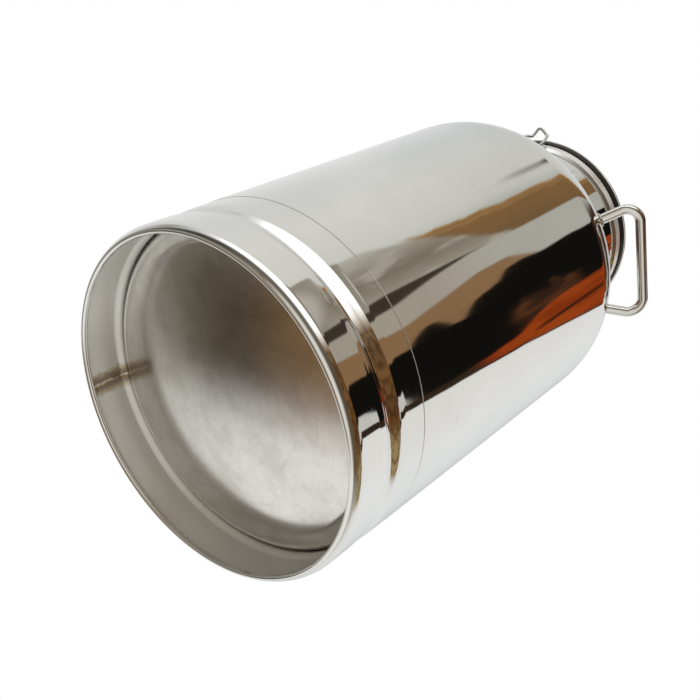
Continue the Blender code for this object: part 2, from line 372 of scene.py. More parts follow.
class Shader:
    """Short calls for the nodes of one material or world."""

    def __init__(self, tree):
        self.tree = tree

    def node(self, kind, **settings):
        made = self.tree.nodes.new(kind)
        for key, value in settings.items():
            setattr(made, key, value)
        return made

    def put(self, socket, value):
        if isinstance(value, bpy.types.NodeSocket):
            self.tree.links.new(value, socket)
        elif socket.type == "RGBA" and len(value) == 3:
            socket.default_value = (*value, 1.0)
        else:
            socket.default_value = value

    def math(self, operation, *values, clamp=False):
        made = self.node("ShaderNodeMath", operation=operation, use_clamp=clamp)
        for socket, value in zip(made.inputs, values):
            self.put(socket, value)
        return made.outputs[0]

    def plus(self, first, second):
        return self.math("ADD", first, second)

    def minus(self, first, second):
        return self.math("SUBTRACT", first, second)

    def times(self, first, second):
        return self.math("MULTIPLY", first, second)

    def vector(self, operation, *values):
        made = self.node("ShaderNodeVectorMath", operation=operation)
        for socket, value in zip(made.inputs, values):
            self.put(socket, value)
        return made.outputs["Value" if operation in ("DOT_PRODUCT", "LENGTH", "DISTANCE") else "Vector"]

    def split(self, vector):
        made = self.node("ShaderNodeSeparateXYZ")
        self.put(made.inputs[0], vector)
        return made.outputs

    def joined(self, x, y, z):
        made = self.node("ShaderNodeCombineXYZ")
        for socket, value in zip(made.inputs, (x, y, z)):
            self.put(socket, value)
        return made.outputs[0]

    def range(self, value, start, end, to_start=0.0, to_end=1.0, kind="SMOOTHSTEP"):
        made = self.node("ShaderNodeMapRange", interpolation_type=kind)
        for socket, given in zip(made.inputs, (value, start, end, to_start, to_end)):
            self.put(socket, given)
        return made.outputs[0]

    def mix(self, factor, first, second, blend="MIX"):
        made = self.node("ShaderNodeMix", data_type="RGBA", blend_type=blend)
        self.put(made.inputs["Factor"], factor)
        self.put(made.inputs[6], first)
        self.put(made.inputs[7], second)
        return made.outputs[2]

    def noise(self, vector, scale, detail=2.0, roughness=0.5):
        made = self.node("ShaderNodeTexNoise")
        self.put(made.inputs["Vector"], vector)
        self.put(made.inputs["Scale"], scale)
        self.put(made.inputs["Detail"], detail)
        self.put(made.inputs["Roughness"], roughness)
        return made.outputs[0]

    def ramp(self, factor, stops):
        made = self.node("ShaderNodeValToRGB")
        self.put(made.inputs[0], factor)
        band = made.color_ramp
        while len(band.elements) < len(stops):
            band.elements.new(0.5)
        for element, (place, colour) in zip(band.elements, stops):
            element.position = place
            element.color = (*colour, 1.0)
        return made.outputs[0]

    def bump(self, height, distance, normal=None):
        made = self.node("ShaderNodeBump")
        made.inputs["Strength"].default_value = 1.0
        made.inputs["Distance"].default_value = distance
        self.put(made.inputs["Height"], height)
        if normal is not None:
            self.put(made.inputs["Normal"], normal)
        return made.outputs[0]


def surface(name, metallic):
    """A new material, its shader helper, its Principled node and the position in the frame's axes."""
    made = bpy.data.materials.new(name)
    made.use_nodes = True
    shader = Shader(made.node_tree)
    principled = made.node_tree.nodes["Principled BSDF"]
    principled.inputs["Metallic"].default_value = metallic
    place = shader.node("ShaderNodeTexCoord").outputs["Object"]
    return made, shader, principled, place


def scratches(shader, place, stretch, seed, thinness):
    """1 on thin broken lines that run across the direction in which stretch is large, 0 elsewhere."""
    moved = shader.vector("ADD", place, (seed, seed * 0.7, seed * 1.3))
    lines = shader.noise(shader.vector("MULTIPLY", moved, stretch), 1.0, 1.0)
    line = shader.range(shader.math("ABSOLUTE", shader.minus(lines, 0.5)), 0.0, thinness, 1.0, 0.0)
    where = shader.range(shader.noise(moved, 38.0, 2.0), 0.50, 0.64)
    return shader.times(line, where)


def heat_tint(shader, colour, distance, reach, place):
    """The colour with the straw, brown and blue of a weld's heat, up to reach away from it."""
    cloud = shader.noise(place, 260.0, 2.0)
    wobble = shader.times(shader.minus(cloud, 0.5), reach * 0.5)
    share = shader.math("DIVIDE", shader.plus(distance, wobble), reach, clamp=True)
    tint = shader.ramp(share, [
        (0.00, (0.30, 0.22, 0.15)), (0.22, (0.42, 0.27, 0.13)), (0.42, (0.36, 0.31, 0.33)),
        (0.62, (0.62, 0.50, 0.34)), (0.85, (0.80, 0.75, 0.66)), (1.00, (1.00, 1.00, 1.00)),
    ])
    return shader.mix(1.0, colour, tint, "MULTIPLY")


def steel(name, colour, roughness, rings, wave, marks, stretch, tint=None, cloudy=0.0, metallic=1.0):
    """Stainless steel. rings is the depth of its fine polishing lines and wave that of its slow unevenness,
    in metres; marks is how much its scratches roughen it; stretch squeezes the lines along the polishing.
    A cloudy one, up to 1, was polished in circles round Z and is uneven in tone."""
    made, shader, principled, place = surface(name, metallic)
    patches = shader.noise(place, 11.0, 4.0)
    lines = shader.noise(shader.vector("MULTIPLY", place, stretch), 1.0, 2.0)
    if cloudy:
        x, y = shader.split(place)[:2]
        reach = shader.vector("LENGTH", shader.joined(x, y, 0.0))
        turn = shader.times(shader.math("ARCTAN2", y, x), 1.6)
        lines = shader.noise(shader.joined(shader.times(reach, 520.0), turn, 0.0), 1.0, 3.0)
    smears = shader.noise(shader.vector("MULTIPLY", place, tuple(s * 0.06 for s in stretch)), 1.0, 3.0)
    fine = scratches(shader, place, tuple(s * 0.22 for s in stretch), 3.1, 0.006)
    stray = scratches(shader, place, (23.0, 61.0, 37.0), 8.7, 0.0016)
    scratch = shader.math("MAXIMUM", fine, stray)
    toned = shader.mix(shader.range(patches, 0.35, 0.7), colour, tuple(c * 0.95 for c in colour))
    toned = shader.mix(shader.times(scratch, 0.25), toned, tuple(c * 0.6 for c in colour))
    if cloudy:
        haze = shader.range(shader.noise(place, 34.0, 5.0, 0.65), 0.38, 0.66, 0.0, 0.55 * cloudy)
        toned = shader.mix(haze, toned, tuple(c * s for c, s in zip(colour, (0.66, 0.63, 0.59))))
        circles = shader.range(lines, 0.54, 0.70, 0.0, 0.22 * cloudy)
        toned = shader.mix(circles, toned, tuple(c * 0.6 for c in colour))
    if tint:
        toned = tint(shader, toned, place)
    shader.put(principled.inputs["Base Color"], toned)
    rough = shader.range(patches, 0.3, 0.7, roughness * 0.88, roughness * 1.12)
    rough = shader.plus(rough, shader.range(smears, 0.35, 0.75, -0.10 * roughness, 0.16 * roughness))
    rough = shader.plus(rough, shader.times(scratch, marks))
    shader.put(principled.inputs["Roughness"], rough)
    buckle = shader.noise(shader.vector("MULTIPLY", place, (1.0, 1.0, 0.45)), 17.0, 1.0)
    normal = shader.bump(buckle, wave)
    normal = shader.bump(lines, rings, normal)
    normal = shader.bump(scratch, -rings * 1.5, normal)
    shader.put(principled.inputs["Normal"], normal)
    return made


def seam_tint(shader, colour, place):
    """Heat colour beside the foot band's weld seam."""
    turn = radians(SEAM_ANGLE)
    across = shader.vector("DOT_PRODUCT", place, (-sin(turn), cos(turn), 0.0))
    behind = shader.range(shader.split(place)[0], 0.0, 0.01, 0.1, 0.0)
    distance = shader.plus(shader.math("ABSOLUTE", across), behind)
    return heat_tint(shader, colour, distance, 0.011, place)


def foot_tint(foot, reach):
    """Heat colour round the four places that mirror foot in X and Y."""
    def tinted(shader, colour, place):
        folded = shader.vector("ABSOLUTE", place)
        distance = shader.vector("DISTANCE", folded, (abs(foot.x), abs(foot.y), foot.z))
        return heat_tint(shader, colour, distance, reach, place)
    return tinted


def rubber():
    made, shader, principled, place = surface("black_rubber_seal", 0.0)
    dust = shader.noise(place, 140.0, 4.0)
    tone = shader.mix(shader.range(dust, 0.45, 0.75), (0.012, 0.012, 0.012), (0.035, 0.034, 0.032))
    shader.put(principled.inputs["Base Color"], tone)
    shader.put(principled.inputs["Roughness"], shader.range(dust, 0.3, 0.7, 0.36, 0.55))
    principled.inputs["Specular IOR Level"].default_value = 0.2
    shader.put(principled.inputs["Normal"], shader.bump(shader.noise(place, 900.0, 2.0), 0.00004))
    return made


def weld_metal():
    made, shader, principled, place = surface("weld_metal", 1.0)
    cloud = shader.noise(place, 320.0, 3.0)
    tone = shader.mix(shader.range(cloud, 0.35, 0.65), (0.66, 0.61, 0.54), (0.40, 0.32, 0.26))
    shader.put(principled.inputs["Base Color"], tone)
    shader.put(principled.inputs["Roughness"], shader.range(cloud, 0.3, 0.7, 0.16, 0.34))
    shader.put(principled.inputs["Normal"], shader.bump(shader.noise(place, 1400.0, 2.0), 0.00003))
    return made


# ---------------------------------------------------------------- pieces


def sheet(path, thickness, ends=(True, True)):
    """Closed outline of sheet metal whose outer face follows path, with its edges rounded where ends says."""
    outline = path + offset(path, thickness)[::-1]
    sharp = []
    count = len(path)
    for k in range(len(outline)):
        at_start = k in (0, len(outline) - 1)
        at_end = k in (count - 1, count)
        sharp.append((at_start and not ends[0]) or (at_end and not ends[1]))
    soft = []
    for k, corner in enumerate(outline):
        if sharp[k]:
            soft.append(corner)
            continue
        three = [outline[k - 1], corner, outline[(k + 1) % len(outline)]]
        soft += [tuple(p) for p in softened(three, CORNER)[1:-1]]
    return soft


def shoulder_path():
    """Outer face of the drawn shoulder from the neck down to the barrel."""
    centre = (BODY_RADIUS - SHOULDER_BEND, SHOULDER_START)
    fillet_r = NECK_RADIUS + NECK_FILLET
    across = fillet_r - centre[0]
    rise = sqrt((SHOULDER_BEND + NECK_FILLET) ** 2 - across**2)
    meet = degrees(atan2(rise, across))
    path = [(NECK_RADIUS, high("shoulder"))]
    path += arc((fillet_r, centre[1] + rise), NECK_FILLET, 180.0, 180.0 + meet)
    path += arc(centre, SHOULDER_BEND, meet, 0.0, 3 * ARC_STEPS)[1:]
    path.append((BODY_RADIUS, low("shoulder")))
    return path


def can_shell(mirror, shoulder_steel, inside):
    """Barrel, shoulder and neck, whose outer faces run into each other without a step."""
    joint = low("shoulder")
    walls = (
        ("barrel", [(BODY_RADIUS, joint), (BODY_RADIUS, low("barrel"))], mirror, (False, True)),
        ("shoulder", shoulder_path(), shoulder_steel, (False, False)),
        ("neck", [(NECK_RADIUS, high("neck")), (NECK_RADIUS, high("shoulder"))], mirror, (True, False)),
    )
    for node, path, finish, ends in walls:
        outline = sheet(path, BODY_WALL, ends)
        half = len(outline) // 2
        piece = turned(node + "_shell", outline, inner=set(range(half, len(outline) - 1)))
        placed(piece, "can", "polished_steel", (finish, inside), node)


def groove_depth(z):
    """How far the foot band is pressed in at height z."""
    if z > GROOVE_FLOOR:
        run = (GROOVE_HIGH - z) / (GROOVE_HIGH - GROOVE_FLOOR)
    else:
        run = (z - GROOVE_LOW) / (GROOVE_FLOOR - GROOVE_LOW)
    if run < 0.0:
        return 0.0
    swell = 0.5 - 0.5 * cos(pi * run)
    return GROOVE_EASE + (GROOVE_DEPTH - GROOVE_EASE) * (GROOVE_CREASE * run + (1.0 - GROOVE_CREASE) * swell)


def rim_faces():
    """Outer face of the foot band's lowest part, which curves in and rolls up inside, and the roll's axis."""
    centre = (RIM_RADIUS - RIM_CURVE, RIM_HEIGHT)
    meet = asin((centre[1] - RIM_ROLL) / (RIM_CURVE - RIM_ROLL))
    axis = (centre[0] + (RIM_CURVE - RIM_ROLL) * cos(meet), RIM_ROLL)
    curve = arc(centre, RIM_CURVE, 0.0, -degrees(meet))
    roll = arc(axis, RIM_ROLL, -degrees(meet), RIM_FLAT - 270.0, 2 * ARC_STEPS)
    return curve + roll[1:], axis


def foot_band(mirror, satin):
    """Foot band: lap edge, pressed-in groove and a rim rolled inwards."""
    rolled, axis = rim_faces()
    upper = [
        (SKIRT_RADIUS, high("foot_skirt")),
        (SKIRT_RADIUS, GROOVE_HIGH + GROOVE_EASE_RUN),
        (SKIRT_RADIUS - GROOVE_EASE, GROOVE_HIGH),
    ]
    lower = [
        (SKIRT_RADIUS - GROOVE_EASE, GROOVE_LOW),
        (SKIRT_RADIUS, GROOVE_LOW - GROOVE_EASE_RUN),
        rolled[0],
    ]
    path = [tuple(p) for p in softened(upper, GROOVE_EASE_BEND, 8)]
    for k in range(1, GROOVE_STEPS):
        z = GROOVE_HIGH + (GROOVE_LOW - GROOVE_HIGH) * k / GROOVE_STEPS
        path.append((SKIRT_RADIUS - groove_depth(z), z))
    path += [tuple(p) for p in softened(lower, GROOVE_EASE_BEND, 8)] + rolled[1:]
    outline = sheet(path, SKIRT_WALL)
    half = len(outline) // 2
    piece = turned("foot_band", outline, inner=set(range(half, len(outline))))
    placed(piece, "can", "polished_steel", (mirror, satin), "foot_skirt")
    wire = turned("rim_core", arc(axis, RIM_WIRE, 180.0, -180.0, 12)[:-1])
    placed(wire, "can", "satin_steel", (satin,), "rim_wire")


def seam_bead(finish):
    """Weld bead up the inside of the foot band and over the groove's ridge."""
    turn = radians(SEAM_ANGLE)
    out = Vector((cos(turn), sin(turn), 0.0))
    along = Vector((-sin(turn), cos(turn), 0.0))
    inside = SKIRT_RADIUS - SKIRT_WALL
    start = 2.0 * RIM_ROLL
    end = GROOVE_HIGH + 0.002
    rows = 140
    across = 10
    ripple_step = 0.0011
    end_rows = 6.0
    points = []
    for k in range(rows + 1):
        z = start + (end - start) * k / rows
        wall = inside - groove_depth(z)
        lump = noise.noise(Vector((z * 180.0, 0.4, 0.0)))
        ripple = 0.5 + 0.5 * cos(2.0 * pi * z / ripple_step)
        fade = min(1.0, k / end_rows, (rows - k) / end_rows)
        for j in range(across):
            tilt = 2.0 * pi * j / across
            deep = (SEAM_RISE * (0.8 + 0.2 * ripple + 0.3 * lump)) * sin(tilt) * fade
            wide = SEAM_HALF * (1.0 + 0.15 * lump + 0.05 * ripple) * cos(tilt)
            points.append(out * (wall + TOUCH - deep) + along * wide + Vector((0.0, 0.0, z)))
    faces = flipped(strips(rows + 1, across, closed=False))
    faces.append(tuple(range(across)))
    faces.append(tuple(reversed(range(rows * across, (rows + 1) * across))))
    placed(meshed("foot_seam_weld", points, faces), "can", "satin_steel", (finish,))


def dished_bottom(satin):
    across = DISH_RADIUS - KNUCKLE
    drop = KNUCKLE_HEIGHT - low("bottom_dish")
    crown = (across**2 + drop**2 - KNUCKLE**2) / (2.0 * (drop - KNUCKLE))
    crown_height = low("bottom_dish") + crown
    meet = degrees(atan2(KNUCKLE_HEIGHT - crown_height, across))
    path = [(DISH_RADIUS, high("bottom_dish"))]
    path += arc((across, KNUCKLE_HEIGHT), KNUCKLE, 0.0, meet, 2 * ARC_STEPS)
    path += arc((0.0, crown_height), crown, meet, -90.0, 2 * ARC_STEPS)[1:-1]
    path.append((0.0, low("bottom_dish")))
    outline = path + offset(path, DISH_WALL)[::-1]
    placed(turned("dished_bottom", outline), "can", "satin_steel", (satin,), "bottom_dish")


def mouth_band(mirror, satin):
    """Ring round the mouth: a satin face above a bright slope that meets the neck."""
    inner = NECK_RADIUS
    corners = [
        (inner, high("mouth_ring")),
        (radius("mouth_ring"), high("mouth_ring")),
        (radius("mouth_ring"), low("mouth_ring") + RING_SLOPE),
        (inner + RING_STEP, low("mouth_ring")),
        (inner, low("mouth_ring")),
    ]
    outline = [tuple(p) for p in softened(corners, RING_EDGE, ARC_STEPS, cyclic=True)]
    per_corner = ARC_STEPS + 1
    slope = set(range(2 * per_corner + ARC_STEPS // 2, 4 * per_corner))
    placed(turned("mouth_band", outline, slope), "can", "polished_steel", (satin, mirror), "mouth_ring")


def lid(mirror, satin, seal):
    """Domed cover with its beaded edge, the band under it that centres it, and the rubber seal."""
    sag = high("lid_cover") - LID_DOME_EDGE
    crown = (LID_DOME_RADIUS**2 + sag**2) / (2.0 * sag)
    centre = (0.0, high("lid_cover") - crown)
    slope = degrees(atan2(LID_DOME_EDGE - centre[1], LID_DOME_RADIUS))
    edge = (LID_RADIUS - LID_EDGE, LID_FLANGE - LID_WALL / 2.0)
    upper = arc(centre, crown, 90.0, slope, 2 * ARC_STEPS)
    upper[0] = (0.0, high("lid_cover"))
    rest = [
        upper[-1],
        (LID_FLANGE_INNER - LID_STEP_RUN, LID_FLANGE + LID_STEP_RISE),
        (LID_FLANGE_INNER, LID_FLANGE),
        (edge[0] - LID_EDGE, LID_FLANGE),
    ]
    upper += [tuple(p) for p in softened(rest, LID_STEP_BEND, 5)][1:]
    lower = offset(upper, LID_WALL)
    outline = upper + arc(edge, LID_EDGE, 120.0, -120.0) + lower[::-1]
    placed(turned("lid_shell", outline), "lid", "polished_steel", (mirror,), "lid_cover")
    wall = radius("lid_locator")
    path = [(wall, high("lid_locator")), (wall, low("lid_locator"))]
    placed(turned("lid_band", sheet(path, LID_WALL)), "lid", "satin_steel", (satin,), "lid_locator")
    corners = [
        (wall + TOUCH, high("gasket")),
        (radius("gasket"), high("gasket")),
        (radius("gasket"), low("gasket")),
        (wall + TOUCH, low("gasket")),
    ]
    ring = [tuple(p) for p in softened(corners, GASKET_EDGE, 8, cyclic=True)]
    placed(turned("seal_ring", ring), "lid", "black_rubber", (seal,), "gasket")


def handle_corners(side):
    """Foot and grip corner of one leg of the +X handle; side is -1 or 1 along Y."""
    lift = radians(HANDLE_FOOT_ANGLE)
    spread = radians(side * HANDLE_FOOT_SPREAD)
    reach = BODY_RADIUS - SHOULDER_BEND + SHOULDER_BEND * cos(lift)
    height = SHOULDER_START + SHOULDER_BEND * sin(lift)
    foot = Vector((reach * cos(spread), reach * sin(spread), height))
    grip = Vector((HANDLE_REACH, side * HANDLE_HALF_GRIP, HANDLE_HEIGHT))
    return foot, grip


def side_handles(finish, weld):
    lift, gap, bead = SIDE_WELD
    for name, turn in (("right", 0.0), ("left", pi)):
        legs = [handle_corners(side) for side in (-1.0, 1.0)]
        corners = [legs[0][0], legs[0][1], legs[1][1], legs[1][0]]
        spin = Matrix.Rotation(turn, 3, "Z")
        path = [spin @ p for p in softened(corners, HANDLE_BEND, 20)]
        piece = rod("side_grip_" + name, path, HANDLE_ROD)
        placed(piece, "can", "rod_steel", (finish,), "side_handle_" + name)
        for number, (foot, grip) in enumerate(legs, 1):
            axis = spin @ (grip - foot)
            centre = spin @ foot + axis.normalized() * lift
            ring = weld_ring(f"side_weld_{name}_{number}", centre, axis, HANDLE_ROD + gap, bead)
            placed(ring, "can", "satin_steel", (weld,))


def lid_grip(finish, weld):
    lift, gap, bead = LID_WELD
    up = Vector((0.0, 0.0, 1.0))
    half = LID_HANDLE_SPAN / 2.0
    dome = high("lid_cover")
    sag = dome - LID_DOME_EDGE
    foot = dome - sag * (half / LID_DOME_RADIUS) ** 2
    top = high("lid_handle") - LID_HANDLE_ROD
    corners = [(-half, 0.0, foot), (-half, 0.0, top), (half, 0.0, top), (half, 0.0, foot)]
    piece = rod("lid_grip", softened(corners, LID_HANDLE_BEND, 20), LID_HANDLE_ROD)
    placed(piece, "lid", "rod_steel", (finish,), "lid_handle")
    for number, side in enumerate((-1.0, 1.0), 1):
        centre = Vector((side * half, 0.0, foot + lift))
        ring = weld_ring(f"lid_weld_{number}", centre, up, LID_HANDLE_ROD + gap, bead)
        placed(ring, "lid", "satin_steel", (weld,))


def tube(name, centre, half, outer, bore):
    """Short tube along X with eased ends."""
    corners = [(-half, bore), (-half, outer), (half, outer), (half, bore)]
    outline = softened(corners, KNUCKLE_EASE, 4, cyclic=True)
    points = []
    for k in range(ROD_SIDES):
        turn = 2.0 * pi * k / ROD_SIDES
        points += [centre + Vector((p.x, p.y * cos(turn), p.y * sin(turn))) for p in outline]
    return meshed(name, points, strips(ROD_SIDES, len(outline)))


def leaf(name, spin):
    """Plate bent to the neck's curve, with rounded lower corners and eased edges."""
    rows = 16
    columns = 40
    inner = NECK_RADIUS + TOUCH
    middle = radians(90.0)
    half = radians(LEAF_HALF_ANGLE)
    corner = 0.35  # share of the height that the lower corners take
    rounding = 0.22
    ease = 0.0003
    points = []
    for face, wall in ((0, LEAF_OUTER), (1, inner)):
        for i in range(rows + 1):
            share = i / rows
            squeeze = 1.0
            if share < corner:
                squeeze = 1.0 - rounding * (1.0 - sqrt(1.0 - (1.0 - share / corner) ** 2))
            for j in range(columns + 1):
                across = 2.0 * j / columns - 1.0
                edge = ease if face == 0 and (i in (0, rows) or j in (0, columns)) else 0.0
                turn = middle + across * half * squeeze
                r = wall - edge
                z = LEAF_LOW + (LEAF_HIGH - LEAF_LOW) * share
                points.append(spin @ Vector((r * cos(turn), r * sin(turn), z)))
    width = columns + 1
    back = (rows + 1) * width
    faces = []
    for i in range(rows):
        for j in range(columns):
            a = i * width + j
            faces.append((a, a + width, a + width + 1, a + 1))
            b = back + a
            faces.append((b, b + 1, b + width + 1, b + width))
    rim = list(range(width))
    rim += [i * width + columns for i in range(1, rows + 1)]
    rim += [rows * width + j for j in range(columns - 1, -1, -1)]
    rim += [i * width for i in range(rows - 1, 0, -1)]
    for a, b in zip(rim, rim[1:] + rim[:1]):
        faces.append((a, b, back + b, back + a))
    return meshed(name, points, faces)


def clips(finish, satin):
    """Each clip's leaf and knuckle on the neck, and its wire loop on its own body."""
    half = [Vector(c) for c in BAIL_CORNERS]
    corners = half + [Vector((-c.x, c.y, c.z)) for c in half[-2::-1]]
    loop = softened(corners, BAIL_BEND, 10, cyclic=True)
    pivot = Vector((0.0, PIVOT_REACH, PIVOT_HEIGHT))
    open_turn = Matrix.Rotation(-radians(CLIP_OPEN), 3, "X")
    for name, turn in (("front", pi), ("rear", 0.0)):
        spin = Matrix.Rotation(turn, 3, "Z")
        knuckle = tube("clip_knuckle_" + name, spin @ pivot, KNUCKLE_HALF, KNUCKLE_OUTER, KNUCKLE_BORE)
        placed(knuckle, "can", "satin_steel", (satin,), "clip_hinge_" + name)
        placed(leaf("clip_leaf_" + name, spin), "can", "satin_steel", (satin,), "clip_hinge_" + name)
        path = [spin @ (pivot + open_turn @ p) for p in loop]
        wire = rod("clip_wire_" + name, path, WIRE, cyclic=True)
        placed(wire, "clip_" + name, "rod_steel", (finish,), "clip_bail_" + name)


# ---------------------------------------------------------------- studio

# The can lies on its side for the picture: UP is the way up there, AWAY points level across the can's axis,
# away from the camera, and the can's own +Z is level too.
UP = Vector((-0.1650, 0.9863, 0.0))
AWAY = Vector((0.9863, 0.1650, 0.0))
EYE = Vector((-3.7440, 1.9923, -3.0365))  # in body radii, from the centre of the foot
LOOK = Vector((0.6209, -0.3473, 0.7027))
HEAD = Vector((0.1239, 0.9287, 0.3495))
LENS = 51.43
REFLECTANCE = 0.84


def camera():
    data = bpy.data.cameras.new("camera")
    data.lens = LENS
    data.sensor_width = 36.0
    data.clip_start = 0.01
    data.clip_end = 50.0
    made = bpy.data.objects.new("camera", data)
    link(made)
    back = -LOOK.normalized()
    side = HEAD.cross(back).normalized()
    up = back.cross(side)
    turn = Matrix((side, up, back)).transposed().to_4x4()
    made.matrix_world = Matrix.Translation(EYE * BODY_RADIUS) @ turn
    bpy.context.scene.camera = made


# What the steel reflects, as edges between the things round the can. A direction is given by its share along
# the can's axis and its angle round it, in degrees from UP, positive towards AWAY. An edge lists both. Most
# points are a program's mirror directions of places picked on a photograph's reflections, rounded.
NEAR_SHARE = 0.66  # the span of shares that the edges cover
FAR_SHARE = 0.90
WOOD_UPPER = [(0.767, -14.5), (0.785, -16.0), (0.81, -18.0), (0.84, -19.5)]
WOOD_LOWER = [
    (0.767, -14.5), (0.797, -26.5), (0.808, -34.5), (0.82, -40.5), (0.833, -44.5), (0.85, -48.0),
]
BEIGE_UPPER = [(0.67, -11.0), (0.735, -9.0), (0.76, -14.5), (0.785, -20.0)]
LINE_UPPER = [(0.68, -47.0), (0.743, -42.0), (0.80, -42.5)]
LINE_LOWER = [(0.68, -53.0), (0.744, -51.0), (0.772, -46.5), (0.80, -43.5)]
PALE_LOWER = [
    (0.68, -64.0), (0.743, -66.0), (0.772, -62.0), (0.80, -58.0), (0.82, -58.0), (0.841, -69.0),
]
TAN_LOWER = [
    (0.70, -80.0), (0.74, -80.0), (0.75, -74.0), (0.762, -73.0), (0.772, -81.0), (0.78, -82.0),
    (0.791, -74.0), (0.807, -72.0), (0.815, -65.0), (0.835, -67.0),
]
BLACK_LOWER = [
    (0.70, -101.0), (0.73, -113.0), (0.75, -115.0), (0.78, -116.0), (0.803, -115.0), (0.826, -106.0),
    (0.86, -106.0),
]
TABLE_EDGE = [
    (0.70, -115.0), (0.746, -119.0), (0.775, -122.0), (0.80, -125.0), (0.83, -132.5), (0.85, -139.0),
]


def shown(red, green, blue):
    """Light that the polished steel shows as this display colour, given as 0 to 255."""
    return tuple(c / REFLECTANCE for c in linear(red, green, blue))


class Room(Shader):
    """The world's nodes, with the direction looked in as shares and angles."""

    def face(self, way):
        self.up = self.vector("DOT_PRODUCT", way, tuple(UP))
        self.away = self.vector("DOT_PRODUCT", way, tuple(AWAY))
        self.along = self.split(way)[2]
        self.turn = self.times(self.math("ARCTAN2", self.away, self.up), 180.0 / pi)

    def bands(self, angle, stops):
        share = self.math("DIVIDE", self.plus(angle, 180.0), 360.0)
        return self.ramp(share, [((a + 180.0) / 360.0, shown(*rgb)) for a, rgb in stops])

    def share(self, start, end, to_start=0.0, to_end=1.0):
        """range() over this direction's share along the axis."""
        return self.range(self.along, start, end, to_start, to_end)

    def edge(self, stops):
        """Angle of an edge at this direction's share along the axis."""
        share = self.range(self.along, NEAR_SHARE, FAR_SHARE, kind="LINEAR")
        span = FAR_SHARE - NEAR_SHARE
        greys = [((s - NEAR_SHARE) / span, ((a + 180.0) / 360.0,) * 3) for s, a in stops]
        return self.minus(self.times(self.ramp(share, greys), 360.0), 180.0)

    def grain(self, along_scale, angle, angle_scale, seed, detail):
        """Noise over the share along the axis and an angle, each scaled."""
        place = self.joined(self.times(self.along, along_scale), self.times(angle, angle_scale), seed)
        return self.noise(place, 1.0, detail)

    def wavy(self, step, amount, seed):
        """This direction's angle, disturbed by amount degrees every step along the axis."""
        place = self.joined(self.math("DIVIDE", self.along, step), self.times(self.turn, 0.04), seed)
        shift = self.times(self.minus(self.noise(place, 1.0, 2.0), 0.5), 2.0 * amount)
        return self.plus(self.turn, shift)

    def past(self, angle, edge, blur):
        """1 where angle is beyond, that is lower than, edge."""
        return self.range(self.minus(angle, edge), -blur, blur, 1.0, 0.0)

    def spot(self, share, angle, width, height, blur):
        """1 inside an ellipse round (share, angle), 0 outside."""
        across = self.math("DIVIDE", self.minus(self.along, share), width)
        over = self.math("DIVIDE", self.minus(self.turn, angle), height)
        distance = self.vector("LENGTH", self.joined(across, over, 0.0))
        return self.range(distance, 1.0 - blur, 1.0 + blur, 1.0, 0.0)


